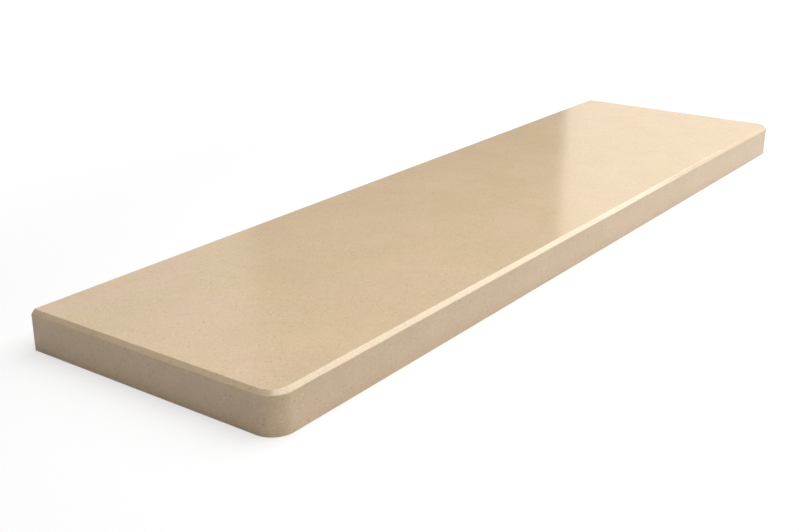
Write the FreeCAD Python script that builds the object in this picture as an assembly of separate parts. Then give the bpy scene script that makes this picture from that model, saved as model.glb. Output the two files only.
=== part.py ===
# Window sill board: one slab of polished engineered stone, sawn to size and finished on three edges.
# It lies flat on its underside. X runs along the window, -Y faces the room and +Y the window frame,
# and Z is up. The origin is the middle of the underside. All sizes are in millimetres.

import FreeCAD
import Part

import math
import os

# Driving dimensions
LENGTH = 820.0  # from end to end, along the window
DEPTH = 220.0  # from the front edge to the back edge that meets the window frame
THICKNESS = 30.0  # the slab that the board is sawn from
CORNER_RADIUS = 16.0  # of the two front corners, seen in plan
CHAMFER = 3.0  # each leg of the chamfer on the top arris of the ends, corners and front

# Where the board's faces lie
END_X = LENGTH / 2.0
BACK_Y = DEPTH / 2.0
FRONT_Y = -BACK_Y
TOP_Z = THICKNESS

SAME_PLACE = 1e-4  # two coordinates closer than this are one


def at(x, y):
    """A point of the plan, on the underside."""
    return FreeCAD.Vector(x, y, 0.0)


def corner_arc(centre_x, start_angle):
    """A quarter turn of a front corner, counter-clockwise from start_angle."""
    centre = at(centre_x, FRONT_Y + CORNER_RADIUS)
    circle = Part.Circle(centre, FreeCAD.Vector(0, 0, 1), CORNER_RADIUS)
    return Part.ArcOfCircle(circle, start_angle, start_angle + math.pi / 2.0)


def plan_outline():
    """The closed outline of the board from above: square at the back, round at the two front corners."""
    round_x = END_X - CORNER_RADIUS
    round_y = FRONT_Y + CORNER_RADIUS
    runs = [
        Part.LineSegment(at(-END_X, BACK_Y), at(-END_X, round_y)),
        corner_arc(-round_x, math.pi),
        Part.LineSegment(at(-round_x, FRONT_Y), at(round_x, FRONT_Y)),
        corner_arc(round_x, 1.5 * math.pi),
        Part.LineSegment(at(END_X, round_y), at(END_X, BACK_Y)),
        Part.LineSegment(at(END_X, BACK_Y), at(-END_X, BACK_Y)),
    ]
    return Part.Wire([run.toShape() for run in runs])


def finished_arrises(slab):
    """The top edges that show in the room: both ends, both corners and the front, but not the back."""
    chosen = []
    for edge in slab.Edges:
        box = edge.BoundBox
        on_top = box.ZMin > TOP_Z - SAME_PLACE
        along_back = box.YMin > BACK_Y - SAME_PLACE
        if on_top and not along_back:
            chosen.append(edge)
    return chosen


def sill_board():
    """The sawn slab with its chamfer, which runs out square at the back edge."""
    slab = Part.Face(plan_outline()).extrude(FreeCAD.Vector(0, 0, THICKNESS))
    return slab.makeChamfer(CHAMFER, finished_arrises(slab))


def main():
    board = sill_board()
    box = board.BoundBox
    print(f"sill_board {box.XLength:.1f} x {box.YLength:.1f} x {box.ZLength:.1f} mm,"
          f" {board.Volume / 1000.0:.1f} cm3, {len(board.Faces)} faces, valid {board.isValid()}")
    os.makedirs("parts", exist_ok=True)
    board.exportStep("parts/sill_board.step")


main()
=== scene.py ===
# %% [markdown]
# A window sill board in Blender
#
# The real board is one piece of engineered stone: fine crushed rock bound with a little resin, pressed
# into a slab, sawn to size and polished wherever the room sees it. It has no other parts, so this lesson is
# about three things that make a plain slab look real: edges with a true shape, a stone that holds up
# close by, and a studio that a polished face can mirror.
#
# The sizes come from the CAD model, which is loaded first and never moved. Everything is in metres.

# %% Load the frame and keep the CAD model's box
import math

import bmesh
import bpy
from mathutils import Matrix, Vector


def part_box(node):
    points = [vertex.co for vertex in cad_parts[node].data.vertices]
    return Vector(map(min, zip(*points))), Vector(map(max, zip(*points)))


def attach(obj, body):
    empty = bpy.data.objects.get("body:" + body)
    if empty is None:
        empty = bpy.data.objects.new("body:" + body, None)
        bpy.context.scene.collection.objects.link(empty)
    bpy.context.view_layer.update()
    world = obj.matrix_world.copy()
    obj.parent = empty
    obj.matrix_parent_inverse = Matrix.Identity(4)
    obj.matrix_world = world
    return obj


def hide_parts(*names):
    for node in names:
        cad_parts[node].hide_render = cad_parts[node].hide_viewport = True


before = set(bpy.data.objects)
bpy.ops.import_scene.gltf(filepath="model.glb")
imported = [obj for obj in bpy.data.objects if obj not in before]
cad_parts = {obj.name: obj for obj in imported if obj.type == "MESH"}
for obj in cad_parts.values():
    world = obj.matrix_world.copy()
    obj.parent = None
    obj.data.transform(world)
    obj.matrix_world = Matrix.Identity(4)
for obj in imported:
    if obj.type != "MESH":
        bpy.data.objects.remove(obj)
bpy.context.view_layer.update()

board_low, board_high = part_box("sill_board")
board_size = board_high - board_low
board_middle = (board_low + board_high) / 2
print(f"CAD board {board_size.x:.3f} x {board_size.y:.3f} x {board_size.z:.3f} m")

# %% [markdown]
# The camera
#
# The photograph looks along the board from its near left corner, a little above it. The view is set by
# four plain numbers: where the camera stands, which way it heads, how far it looks down and its lens.
# They are read off the board's own edges: the two sets of long edges run to two vanishing points, and
# the board's known corners then fix the distance. Heading is counted from the board's length, +X,
# towards the window, +Y.

# %% Stand the camera where the photograph was taken
CAMERA_STAND = Vector((-0.8526, -0.5203, 0.3327))
CAMERA_HEADING = math.radians(36.01)
CAMERA_LOOK_DOWN = math.radians(20.40)
CAMERA_LENS = 52.5  # mm, on Blender's usual 36 mm wide sensor
UPRIGHT = math.radians(90.0)

camera_turn = (UPRIGHT - CAMERA_LOOK_DOWN, 0.0, CAMERA_HEADING - UPRIGHT)
bpy.ops.object.camera_add(location=CAMERA_STAND, rotation=camera_turn)
camera = bpy.context.object
camera.name = "photo_camera"
camera.data.lens = CAMERA_LENS
bpy.context.scene.camera = camera
print(f"camera {(CAMERA_STAND - board_middle).length:.2f} m from the board, {CAMERA_LENS} mm lens")

# %% [markdown]
# The sawn slab
#
# A stonecutter starts with a block sawn square, and so does the model: a cube at the CAD board's size
# and place. Applying the scale and the location puts the place into the mesh, so the object itself
# stays at the origin and a pattern that reads object coordinates is in true metres. Everything is
# deselected first, because an operator acts on all that is selected.

# %% Saw the slab
bpy.ops.object.select_all(action="DESELECT")
bpy.ops.mesh.primitive_cube_add(size=1.0, location=board_middle, scale=board_size)
board = bpy.context.object
board.name = "polished_sill_board"
bpy.ops.object.transform_apply(location=True, rotation=True, scale=True)
print(f"slab {tuple(round(side, 3) for side in board.dimensions)} m")

# %% [markdown]
# Finding edges
#
# By hand one would click on an edge. A script finds it by its place: an edge is wanted when both of its
# ends lie where they should. Decimal numbers in a computer seldom agree to the last digit, so two places
# count as the same when they are less than a hundredth of a millimetre apart.

# %% Helpers that find edges by their place
SAME_PLACE = 1e-5


def near(value, place):
    """True when two coordinates are the same place."""
    return abs(value - place) < SAME_PLACE


def select_edges(piece, wanted):
    """In edit mode, select just the edges whose both ends are wanted, and say how many there are."""
    bpy.ops.mesh.select_mode(type="EDGE")
    bpy.ops.mesh.select_all(action="DESELECT")
    mesh = bmesh.from_edit_mesh(piece.data)
    chosen = [edge for edge in mesh.edges if wanted(*[corner.co for corner in edge.verts])]
    for edge in chosen:
        edge.select_set(True)
    bmesh.update_edit_mesh(piece.data)
    return len(chosen)


# %% [markdown]
# The two round corners
#
# Only the corners that stand out into the room are rounded, so that nobody is hurt on them. The back
# corners stay square against the window reveal. Bevel on an upright edge makes exactly such a corner:
# its offset is the radius, and enough segments keep the curve smooth close by.

# %% Round the two front corners
CORNER_RADIUS = 0.016
CORNER_SEGMENTS = 28
TRUE_ARC = 0.5  # the bevel's profile for a part of a circle


def is_front_upright(a, b):
    """True for an edge that stands on a front corner."""
    in_front = near(a.y, board_low.y) and near(b.y, board_low.y)
    return in_front and not near(a.z, b.z)


bpy.ops.object.mode_set(mode="EDIT")
uprights = select_edges(board, is_front_upright)
bpy.ops.mesh.bevel(offset=CORNER_RADIUS, segments=CORNER_SEGMENTS, profile=TRUE_ARC, affect="EDGES")
bpy.ops.object.mode_set(mode="OBJECT")
print(f"{uprights} front corners rounded, {len(board.data.polygons)} faces")

# %% [markdown]
# The chamfer
#
# The top arris is taken off at 45 degrees along the left end, round the corner, along the front, round
# the other corner and along the right end. It is one flat ground facet, so the bevel has one segment.
# The back edge meets the window frame and keeps its sharp arris, so the facet runs out square there.

# %% Grind the chamfer on three sides of the top
CHAMFER = 0.003


def is_finished_arris(a, b):
    """True for an edge of the top face, unless it runs along the back."""
    on_top = near(a.z, board_high.z) and near(b.z, board_high.z)
    along_back = near(a.y, board_high.y) and near(b.y, board_high.y)
    return on_top and not along_back


bpy.ops.object.mode_set(mode="EDIT")
arrises = select_edges(board, is_finished_arris)
bpy.ops.mesh.bevel(offset=CHAMFER, segments=1, affect="EDGES")
bpy.ops.object.mode_set(mode="OBJECT")
print(f"{arrises} arris edges chamfered, {len(board.data.polygons)} faces")

# %% [markdown]
# Eased arrises
#
# No real edge is a perfect knife. The polisher takes the last fraction of a millimetre off every arris,
# and that sliver is what catches the light along the chamfer. A Bevel modifier limited by angle finds
# all the sharp edges by itself and leaves the fine steps of the round corners alone. Weighted normals
# then keep the wide faces dead flat, so that their reflections stay straight.

# %% Ease the sharp arrises
EASED_ARRIS = 0.00035
EASED_SEGMENTS = 3
SHARP_FROM = math.radians(25.0)
WIDE_FACE_WEIGHT = 100  # the most say that wide faces can have in a shared normal

bpy.ops.object.modifier_add(type="BEVEL")
easing = board.modifiers[-1]
easing.width = EASED_ARRIS
easing.segments = EASED_SEGMENTS
easing.limit_method = "ANGLE"
easing.angle_limit = SHARP_FROM
bpy.ops.object.modifier_apply(modifier=easing.name)
bpy.ops.object.shade_smooth()

bpy.ops.object.modifier_add(type="WEIGHTED_NORMAL")
flattening = board.modifiers[-1]
flattening.weight = WIDE_FACE_WEIGHT
bpy.ops.object.modifier_apply(modifier=flattening.name)
print(f"eased board {len(board.data.polygons)} faces, {len(board.data.vertices)} points")

# %% [markdown]
# The stone
#
# Close by, the stone is a tight pack of sand-sized grains in slightly different creams and beiges. Rust
# brown flecks lie scattered in it, some pale ones too, and faint clouds show where the mix was a little
# lighter, darker, rosier or yellower. The same stone shows on polished and on sawn faces, so it is one
# node group that both materials use. It reads the place in millimetres, which makes every scale a real
# size, and it fills the whole block, so the pattern runs round every edge as it does in a real slab.
#
# A Voronoi texture cuts space into cells. A tone drawn by lot for each cell makes a pack of crushed
# grains. Where only a spot in a wide cell is wanted, the distance to the cell's middle is compared with
# a radius drawn for that cell: those are the scattered flecks. A noise texture that pushes the place
# about first makes all of their outlines ragged, as broken stone is.
#
# The lots need care. The colour that a Voronoi texture gives a cell looks random, but it tells where the
# cell's middle lies, and a flat face cuts only cells whose middles are near it. On such a face the draw
# would be lopsided, and flecks could be missing. A White Noise texture fed with that colour shuffles it.

# %% Helpers that lay nodes
# A Mix node has sockets for every kind of value. These are the ones that it uses for colours.
MIX_SHARE, MIX_LOWER, MIX_UPPER, MIX_RESULT = 0, 6, 7, 2


def lay(tree, kind, **settings):
    """Add a node, and set its properties, or its inputs by their names."""
    node = tree.nodes.new(kind)
    for name, value in settings.items():
        if hasattr(node, name):
            setattr(node, name, value)
        else:
            node.inputs[name.replace("_", " ")].default_value = value
    return node


def feed(tree, socket, value):
    """Link an input to another socket, or set it to a plain value."""
    if isinstance(value, bpy.types.NodeSocket):
        tree.links.new(value, socket)
    else:
        socket.default_value = value


def maths(tree, operation, first, second):
    """A Math node on two values, each a socket or a number."""
    node = lay(tree, "ShaderNodeMath", operation=operation)
    feed(tree, node.inputs[0], first)
    feed(tree, node.inputs[1], second)
    return node.outputs[0]


def vector_maths(tree, operation, first, second):
    """A Vector Math node on a socket and another socket or vector."""
    node = lay(tree, "ShaderNodeVectorMath", operation=operation)
    feed(tree, node.inputs[0], first)
    feed(tree, node.inputs[1], second)
    return node


def remap(tree, value, low, high, to_low, to_high):
    """Turn the range from low to high into another one, with soft ends."""
    node = lay(tree, "ShaderNodeMapRange", interpolation_type="SMOOTHSTEP")
    for socket, setting in zip(node.inputs, (value, low, high, to_low, to_high)):
        feed(tree, socket, setting)
    return node.outputs["Result"]


def blend_colours(tree, share, lower, upper, how="MIX"):
    """Mix two colours, each a socket or a colour, by a share from 0 to 1."""
    node = lay(tree, "ShaderNodeMix", data_type="RGBA", blend_type=how)
    feed(tree, node.inputs[MIX_SHARE], share)
    feed(tree, node.inputs[MIX_LOWER], lower)
    feed(tree, node.inputs[MIX_UPPER], upper)
    return node.outputs[MIX_RESULT]


# %% Helpers for grains, flecks and clouds
FLECK_EDGE = 0.55  # mm over which a fleck fades into the stone
FLECK_FAINTNESS = 1.6  # the power that turns evenly spread strengths into mostly weak ones
FAINTEST_FLECK = 0.06


def cells_of(tree, place, size):
    """Cells of about that size in millimetres: three lots for each, and the distance to its middle."""
    cells = lay(tree, "ShaderNodeTexVoronoi", feature="F1", Scale=1.0 / size)
    shuffle = lay(tree, "ShaderNodeTexWhiteNoise", noise_dimensions="3D")
    lots = lay(tree, "ShaderNodeSeparateColor")
    tree.links.new(place, cells.inputs["Vector"])
    tree.links.new(cells.outputs["Color"], shuffle.inputs["Vector"])
    tree.links.new(shuffle.outputs["Color"], lots.inputs["Color"])
    return lots.outputs, maths(tree, "MULTIPLY", cells.outputs["Distance"], size)


def flecks(tree, place, spacing, smallest, largest, strongest):
    """A mask of scattered flecks, one to a wide cell, with radii in millimetres. A cell whose radius is
    drawn below zero has none. Most flecks are faint and a few are strong."""
    lots, from_middle = cells_of(tree, place, spacing)
    radius = maths(tree, "MULTIPLY", lots["Green"], largest - smallest)
    inside = maths(tree, "SUBTRACT", maths(tree, "ADD", radius, smallest), from_middle)
    strength = maths(tree, "POWER", lots["Blue"], FLECK_FAINTNESS)
    strength = remap(tree, strength, 0.0, 1.0, FAINTEST_FLECK, strongest)
    return maths(tree, "MULTIPLY", remap(tree, inside, 0.0, FLECK_EDGE, 0.0, 1.0), strength)


def clouds(tree, place, size, detail, roughness):
    """Soft noise from about 0 to 1, whose largest lumps have that size in millimetres."""
    noise = lay(tree, "ShaderNodeTexNoise", Scale=1.0 / size, Detail=detail, Roughness=roughness)
    tree.links.new(place, noise.inputs["Vector"])
    return noise


# %% [markdown]
# One group for both finishes
#
# A node group is built once and placed in each material, which then gives it colours of its own. It
# gives back a colour, the relief of the grains for the rough faces, and a haze for the polish. Inside,
# the place is first scaled to millimetres, and noise is added to it for a second, ragged place.

# %% The stone as a node group, with its sockets
MM_PER_M = 1000.0
RAGGED = {"size": 1.1, "detail": 1.0, "roughness": 0.5}
RAGGED_REACH = 1.2  # mm that the noise can push an outline about; most of it moves by a fifth of that
STONE_COLOURS = ("Dark Grain", "Pale Grain", "Yellow Cast", "Rosy Cast", "Brown Fleck", "Pale Fleck")

stone = bpy.data.node_groups.new("stone_grain", "ShaderNodeTree")
stone.interface.new_socket("Place", in_out="INPUT", socket_type="NodeSocketVector")
for socket_name in STONE_COLOURS:
    stone.interface.new_socket(socket_name, in_out="INPUT", socket_type="NodeSocketColor")
stone.interface.new_socket("Color", in_out="OUTPUT", socket_type="NodeSocketColor")
stone.interface.new_socket("Relief", in_out="OUTPUT", socket_type="NodeSocketFloat")
stone.interface.new_socket("Haze", in_out="OUTPUT", socket_type="NodeSocketFloat")
given = stone.nodes.new("NodeGroupInput")
result = stone.nodes.new("NodeGroupOutput")

millimetres = lay(stone, "ShaderNodeVectorMath", operation="SCALE", Scale=MM_PER_M)
stone.links.new(given.outputs["Place"], millimetres.inputs[0])
true_place = millimetres.outputs[0]
push = clouds(stone, true_place, **RAGGED).outputs["Color"]
push = vector_maths(stone, "MULTIPLY", push, (RAGGED_REACH,) * 3).outputs["Vector"]
ragged_place = vector_maths(stone, "ADD", push, true_place).outputs["Vector"]
print(f"stone_grain: {len(stone.interface.items_tree)} sockets")

# %% [markdown]
# The pack of grains
#
# The tone of a spot is a sum: its grain makes a little less than half of it, and the clouds make the
# rest. The tone picks a colour between the darkest and the palest grain. A second noise then tints the
# stone a trace yellower or rosier, by multiplying it with a colour that is nearly white.

# %% The pack of grains, its clouds and its drift of hue
GRAIN_SIZE = 0.42  # mm
GRAIN_SHARE = 0.46  # of the tone, and the clouds make the rest of it
TONE_CLOUDS = {"size": 40.0, "detail": 5.0, "roughness": 0.81}
HUE_CLOUDS = {"size": 45.0, "detail": 4.0, "roughness": 0.75}
HUE_LOW, HUE_HIGH = 0.35, 0.65  # the noise seldom leaves this range

mottle = clouds(stone, true_place, **TONE_CLOUDS).outputs[0]
grain_lots = cells_of(stone, ragged_place, GRAIN_SIZE)[0]
grain_tone = maths(stone, "MULTIPLY", grain_lots["Red"], GRAIN_SHARE)
cloud_tone = maths(stone, "MULTIPLY", mottle, 1.0 - GRAIN_SHARE)
tone = maths(stone, "ADD", cloud_tone, grain_tone)
colour = blend_colours(stone, tone, given.outputs["Dark Grain"], given.outputs["Pale Grain"])
drift = remap(stone, clouds(stone, true_place, **HUE_CLOUDS).outputs[0], HUE_LOW, HUE_HIGH, 0.0, 1.0)
cast = blend_colours(stone, drift, given.outputs["Yellow Cast"], given.outputs["Rosy Cast"])
colour = blend_colours(stone, 1.0, colour, cast, how="MULTIPLY")
print(f"grains of {GRAIN_SIZE} mm under clouds of {TONE_CLOUDS['size']} mm")

# %% [markdown]
# The flecks
#
# Three sets of flecks lie over the pack. Faint brown and pale ones lie close together, and a few strong
# brown ones lie far apart. Where two brown ones meet, the stronger one shows.

# %% The scattered flecks
BROWN_FLECKS = {"spacing": 2.0, "smallest": -0.22, "largest": 1.15, "strongest": 0.40}
STRONG_FLECKS = {"spacing": 7.0, "smallest": -0.4, "largest": 1.2, "strongest": 0.60}
PALE_FLECKS = {"spacing": 2.2, "smallest": -0.22, "largest": 1.1, "strongest": 0.36}

brown = flecks(stone, ragged_place, **BROWN_FLECKS)
strong_brown = flecks(stone, ragged_place, **STRONG_FLECKS)
brown = maths(stone, "MAXIMUM", brown, strong_brown)
pale = flecks(stone, ragged_place, **PALE_FLECKS)
colour = blend_colours(stone, pale, colour, given.outputs["Pale Fleck"])
colour = blend_colours(stone, brown, colour, given.outputs["Brown Fleck"])
stone.links.new(colour, result.inputs["Color"])
stone.links.new(tone, result.inputs["Relief"])
stone.links.new(mottle, result.inputs["Haze"])
print(f"stone_grain: {len(stone.nodes)} nodes")

# %% [markdown]
# Polished faces
#
# The top, the ends, the front and the chamfer are honed and then polished until they mirror the room.
# Resin-bound stone bends light a little more than glass does, which its IOR says, and no polish is quite
# even: the clouds of the mix take it a little better or worse, so they also drive the roughness.

# %% Polished stone
STONE_IOR = 1.58
POLISH_BEST, POLISH_WORST = 0.085, 0.115  # roughness
HAZE_LOW, HAZE_HIGH = 0.3, 0.7  # the clouds seldom leave this range


def colour_of(red, green, blue):
    """An opaque colour in linear light."""
    return (red, green, blue, 1.0)


def stone_material(name, colours, smoothest, roughest):
    """A material of the shared stone, whose roughness drifts between two values."""
    material = bpy.data.materials.new(name)
    material.use_nodes = True
    tree = material.node_tree
    where = lay(tree, "ShaderNodeTexCoord")
    body = lay(tree, "ShaderNodeGroup", name="stone")
    body.node_tree = stone
    for socket_name in STONE_COLOURS:
        body.inputs[socket_name].default_value = colours[socket_name]
    tree.links.new(where.outputs["Object"], body.inputs["Place"])
    shader = tree.nodes["Principled BSDF"]
    shader.inputs["IOR"].default_value = STONE_IOR
    tree.links.new(body.outputs["Color"], shader.inputs["Base Color"])
    roughness = remap(tree, body.outputs["Haze"], HAZE_LOW, HAZE_HIGH, smoothest, roughest)
    tree.links.new(roughness, shader.inputs["Roughness"])
    return material


polished_colours = {
    "Dark Grain": colour_of(0.646, 0.478, 0.310),
    "Pale Grain": colour_of(0.933, 0.734, 0.504),
    "Yellow Cast": colour_of(0.990, 1.004, 0.970),
    "Rosy Cast": colour_of(1.010, 0.996, 1.030),
    "Brown Fleck": colour_of(0.490, 0.315, 0.170),
    "Pale Fleck": colour_of(0.980, 0.870, 0.700),
}
polished = stone_material("polished_stone", polished_colours, POLISH_BEST, POLISH_WORST)
board.data.materials.append(polished)
print(f"{polished.name}: roughness {POLISH_BEST} to {POLISH_WORST}, IOR {STONE_IOR}")

# %% [markdown]
# Sawn faces
#
# Nobody polishes what the wall and the window frame will hide. The underside and the back edge stay as
# the saw left them: paler, because a rough face scatters more light, matt, and combed by the blade
# along the board's length. The comb is noise stretched a hundredfold along X by a Mapping node. It
# goes through a Bump node into the normal, together with the relief of the grains.

# %% Sawn stone
SAWN_SMOOTHEST, SAWN_ROUGHEST = 0.52, 0.70
SAW_STRETCH = (8.0, 900.0, 900.0)  # marks to the metre, along the board and across it
SAW_MARK_DETAIL = 2.0
SAW_DEPTH = 0.0002
SAW_STRENGTH = 0.35

sawn_colours = {
    **polished_colours,
    "Dark Grain": colour_of(0.700, 0.550, 0.380),
    "Pale Grain": colour_of(0.870, 0.710, 0.530),
    "Brown Fleck": colour_of(0.560, 0.400, 0.250),
    "Pale Fleck": colour_of(0.900, 0.790, 0.640),
}
sawn = stone_material("sawn_stone", sawn_colours, SAWN_SMOOTHEST, SAWN_ROUGHEST)
sawn_tree = sawn.node_tree
comb = lay(sawn_tree, "ShaderNodeMapping", Scale=SAW_STRETCH)
sawn_tree.links.new(lay(sawn_tree, "ShaderNodeTexCoord").outputs["Object"], comb.inputs["Vector"])
saw_marks = lay(sawn_tree, "ShaderNodeTexNoise", Scale=1.0, Detail=SAW_MARK_DETAIL)
sawn_tree.links.new(comb.outputs["Vector"], saw_marks.inputs["Vector"])
grain_relief = sawn_tree.nodes["stone"].outputs["Relief"]
height = maths(sawn_tree, "ADD", saw_marks.outputs[0], grain_relief)
bump = lay(sawn_tree, "ShaderNodeBump", Strength=SAW_STRENGTH, Distance=SAW_DEPTH)
sawn_tree.links.new(height, bump.inputs["Height"])
sawn_tree.links.new(bump.outputs["Normal"], sawn_tree.nodes["Principled BSDF"].inputs["Normal"])
board.data.materials.append(sawn)
print(f"{sawn.name}: roughness {SAWN_SMOOTHEST} to {SAWN_ROUGHEST}")

# %% [markdown]
# Which faces are sawn
#
# In edit mode the active material goes to the selected faces. The underside and the back edge are told by
# their normals: one looks down and the other looks towards the window. A sliver of an eased arris that
# leans only a little away from them goes with them, and the steeper slivers keep the polish.

# %% Give the underside and the back edge the sawn finish
FACING = 0.9  # a face whose normal comes this close to a direction looks that way

bpy.ops.object.select_all(action="DESELECT")
board.select_set(True)
bpy.context.view_layer.objects.active = board
bpy.ops.object.mode_set(mode="EDIT")
bpy.ops.mesh.select_mode(type="FACE")
bpy.ops.mesh.select_all(action="DESELECT")
mesh = bmesh.from_edit_mesh(board.data)
hidden_faces = [face for face in mesh.faces if face.normal.y > FACING or face.normal.z < -FACING]
for face in hidden_faces:
    face.select_set(True)
bmesh.update_edit_mesh(board.data)
board.active_material_index = 1
bpy.ops.object.material_slot_assign()
bpy.ops.object.mode_set(mode="OBJECT")
print(f"{len(hidden_faces)} faces left sawn")

# %% [markdown]
# The floor
#
# The board lies on cream paper that runs out into the white of the background, as on a product table. A
# diffuse shader takes the board's soft shadow and throws the warm light back up that the front and the
# end are seen by. The Light Path node then says who is looking. What the camera and the mirroring faces
# see of the paper is lifted by Emission until it looks white, while the lamps stay at a level that suits
# the stone. The camera sees the paper neutral and lifted most, which also keeps the shadow faint.

# %% The floor
FLOOR_SIZE = 14.0
FLOOR_GAP = 0.0001  # a hair's breadth under the board, so that no two faces lie in one plane
CREAM_PAPER = colour_of(0.71, 0.68, 0.63)
PAPER_TO_CAMERA = colour_of(0.48, 0.48, 0.48)
CAMERA_LIFT = 0.55
MIRROR_LIFT = 0.32

bpy.ops.object.select_all(action="DESELECT")
bpy.ops.mesh.primitive_plane_add(size=FLOOR_SIZE, location=(0.0, 0.0, board_low.z - FLOOR_GAP))
floor = bpy.context.object
floor.name = "studio_floor"
paper = bpy.data.materials.new("cream_paper")
paper.use_nodes = True
sheet = paper.node_tree
sheet.nodes.clear()
paper_out = lay(sheet, "ShaderNodeOutputMaterial")
path = lay(sheet, "ShaderNodeLightPath")
to_camera = path.outputs["Is Camera Ray"]
to_mirror = maths(sheet, "ADD", path.outputs["Is Glossy Ray"], path.outputs["Is Transmission Ray"])
matt = lay(sheet, "ShaderNodeBsdfDiffuse")
sheet.links.new(blend_colours(sheet, to_camera, CREAM_PAPER, PAPER_TO_CAMERA), matt.inputs["Color"])
lift = lay(sheet, "ShaderNodeEmission")
camera_lift = maths(sheet, "MULTIPLY", to_camera, CAMERA_LIFT)
mirror_lift = maths(sheet, "MULTIPLY", to_mirror, MIRROR_LIFT)
sheet.links.new(maths(sheet, "ADD", camera_lift, mirror_lift), lift.inputs["Strength"])
lit_paper = lay(sheet, "ShaderNodeAddShader")
sheet.links.new(matt.outputs[0], lit_paper.inputs[0])
sheet.links.new(lift.outputs[0], lit_paper.inputs[1])
print(f"{floor.name}: {FLOOR_SIZE} m of paper")

# %% [markdown]
# Out into white
#
# A product photograph seldom has a horizon, and the paper has none either: it turns white with distance
# from the board. The material works that distance out, as how far a place lies beyond half the board's
# length and half its depth. Only the camera and the mirroring faces see the white. To the light that
# the paper throws back, it is the same paper everywhere.

# %% Let the paper run out into white
FADE_FROM = 0.03  # m beyond the board
FADE_TO = 0.40
NOWHERE = (0.0, 0.0, 0.0)

floor_place = lay(sheet, "ShaderNodeTexCoord").outputs["Object"]
aside = vector_maths(sheet, "ABSOLUTE", floor_place, NOWHERE).outputs["Vector"]
beyond = vector_maths(sheet, "SUBTRACT", aside, board_size / 2).outputs["Vector"]
beyond = vector_maths(sheet, "MAXIMUM", beyond, NOWHERE).outputs["Vector"]
from_board = vector_maths(sheet, "LENGTH", beyond, NOWHERE).outputs["Value"]
white = lay(sheet, "ShaderNodeEmission", Strength=1.0)
run_out = lay(sheet, "ShaderNodeMixShader")
seen = maths(sheet, "ADD", to_camera, to_mirror)
fade = maths(sheet, "MULTIPLY", remap(sheet, from_board, FADE_FROM, FADE_TO, 0.0, 1.0), seen)
sheet.links.new(fade, run_out.inputs[0])
sheet.links.new(lit_paper.outputs[0], run_out.inputs[1])
sheet.links.new(white.outputs[0], run_out.inputs[2])
sheet.links.new(run_out.outputs[0], paper_out.inputs["Surface"])
floor.data.materials.append(paper)
print(f"white from {FADE_TO} m beyond the board")

# %% [markdown]
# The lamps
#
# One wide softbox hangs under the ceiling, from half a metre past the near end to far beyond the other
# end, and a dim strip runs along the front of it. That is what the photograph's chamfer tells: it mirrors
# the ceiling, and it goes from dim to bright in the middle of the round corner, where the softbox begins,
# and falls off again along the front, where it ends. The change at the corner is the strongest, so a
# short panel hangs below the wide one's near end. The lamps are large, so the shadow is soft.
#
# A lamp's brightness is what a mirror would show of it. An area lamp of a given power spreads that over
# its area and over a half sphere, so the power is the brightness times pi times the area.

# %% Hang the softboxes
def softbox(name, along, across, height, brightness):
    """A panel of even light that looks straight down. It spans a range of X along the board and a range
    of Y across it."""
    middle = (sum(along) / 2, sum(across) / 2, height)
    bpy.ops.object.light_add(type="AREA", location=middle)
    lamp = bpy.context.object
    lamp.name = name
    lamp.data.shape = "RECTANGLE"
    lamp.data.size = along[1] - along[0]
    lamp.data.size_y = across[1] - across[0]
    lamp.data.energy = brightness * math.pi * lamp.data.size * lamp.data.size_y
    lamp.visible_camera = False
    print(f"{name}: {lamp.data.size:.2f} x {lamp.data.size_y:.2f} m, {lamp.data.energy:.0f} W")


softbox("wide_softbox", along=(-0.95, 3.70), across=(-1.50, 0.60), height=1.53, brightness=2.24)
softbox("strip_softbox", along=(-1.30, 5.60), across=(-1.50, -0.40), height=1.56, brightness=0.51)
softbox("corner_softbox", along=(-0.94, -0.05), across=(-1.20, -0.60), height=1.50, brightness=0.70)

# %% [markdown]
# The studio round the board
#
# A polished face shows what stands round it, so the studio has walls: pale panels with dark gaps between
# them, painted on the world by bearing, which is the direction counted from +X towards +Y. The warm panel
# on the right and the dim one on the left, with the gap between them, make the streaks of light on the
# top. A Colour Ramp would hold all the panels in one node, but it is stored in 256 steps, which is too
# coarse for a crisp edge. So each panel gets two Map Range nodes, one for each end.

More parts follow.
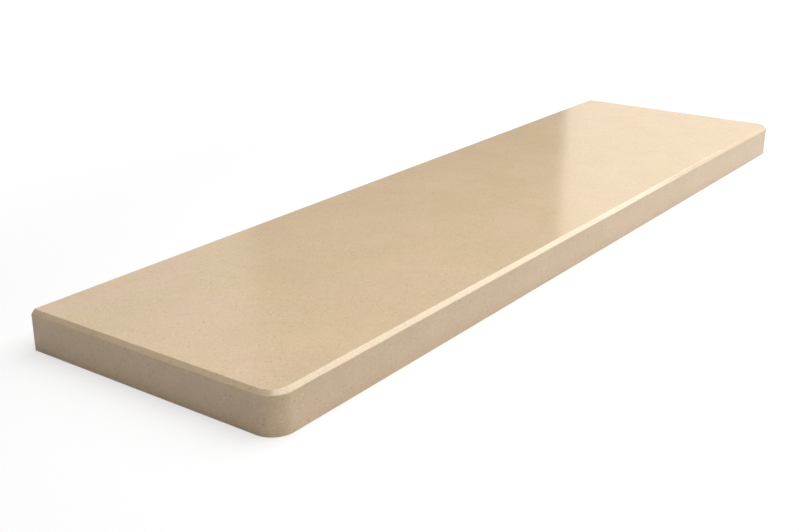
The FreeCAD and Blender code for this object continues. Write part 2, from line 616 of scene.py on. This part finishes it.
# %% Paint the studio's walls
GAP = colour_of(0.0, 0.0, 0.0)
WARM_WALL = colour_of(0.93, 0.85, 0.745)
DIM_WALL = colour_of(0.37, 0.33, 0.34)
PALE_WALL = colour_of(0.60, 0.60, 0.60)
WALLS = (  # the bearings where each begins and ends, the width of its soft ends, and its colour
    (-164.0, -112.0, 4.0, PALE_WALL),
    (-98.0, -54.0, 4.0, PALE_WALL),
    (-44.0, 27.95, 0.4, WARM_WALL),
    (42.8, 104.0, 1.8, DIM_WALL),
)
DEGREES_PER_RADIAN = 180.0 / math.pi

world = bpy.data.worlds.new("studio")
world.use_nodes = True
bpy.context.scene.world = world
sky = world.node_tree
sky.nodes.clear()
way = lay(sky, "ShaderNodeSeparateXYZ")
sky.links.new(lay(sky, "ShaderNodeTexCoord").outputs["Generated"], way.inputs[0])
bearing = maths(sky, "ARCTAN2", way.outputs["Y"], way.outputs["X"])
bearing = maths(sky, "MULTIPLY", bearing, DEGREES_PER_RADIAN)
walls = GAP
for begins, ends, softness, wall_colour in WALLS:
    rising = remap(sky, bearing, begins, begins + softness, 0.0, 1.0)
    falling = remap(sky, bearing, ends - softness, ends, 1.0, 0.0)
    walls = blend_colours(sky, maths(sky, "MULTIPLY", rising, falling), walls, wall_colour)
print(f"{len(WALLS)} walls round the board")

# %% [markdown]
# Who sees the walls
#
# Light Path tells one ray from another. A ray that was mirrored by a polished face sees the walls. The
# camera sees plain white, and any other ray sees nothing, so the walls throw no light of their own and
# the lamps alone light the board.

# %% Let only mirroring rays see the walls
WHITE = colour_of(1.0, 1.0, 1.0)
UNLIT = colour_of(0.0, 0.0, 0.0)

sky_path = lay(sky, "ShaderNodeLightPath")
glossy, through_glass = sky_path.outputs["Is Glossy Ray"], sky_path.outputs["Is Transmission Ray"]
mirrored = maths(sky, "MAXIMUM", glossy, through_glass)
sight = blend_colours(sky, mirrored, UNLIT, walls)
sight = blend_colours(sky, sky_path.outputs["Is Camera Ray"], sight, WHITE)
background = lay(sky, "ShaderNodeBackground", Strength=1.0)
sky.links.new(sight, background.inputs["Color"])
sky.links.new(background.outputs[0], lay(sky, "ShaderNodeOutputWorld").inputs["Surface"])
print(f"{world.name}: {len(sky.nodes)} nodes")

# %% [markdown]
# Hand over
#
# The polished board stands for the CAD board: it rides on the same body and hides it. Its box has to
# match the CAD box.

# %% Finish
bpy.context.scene.view_settings.view_transform = "Standard"
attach(board, "root")
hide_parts("sill_board")
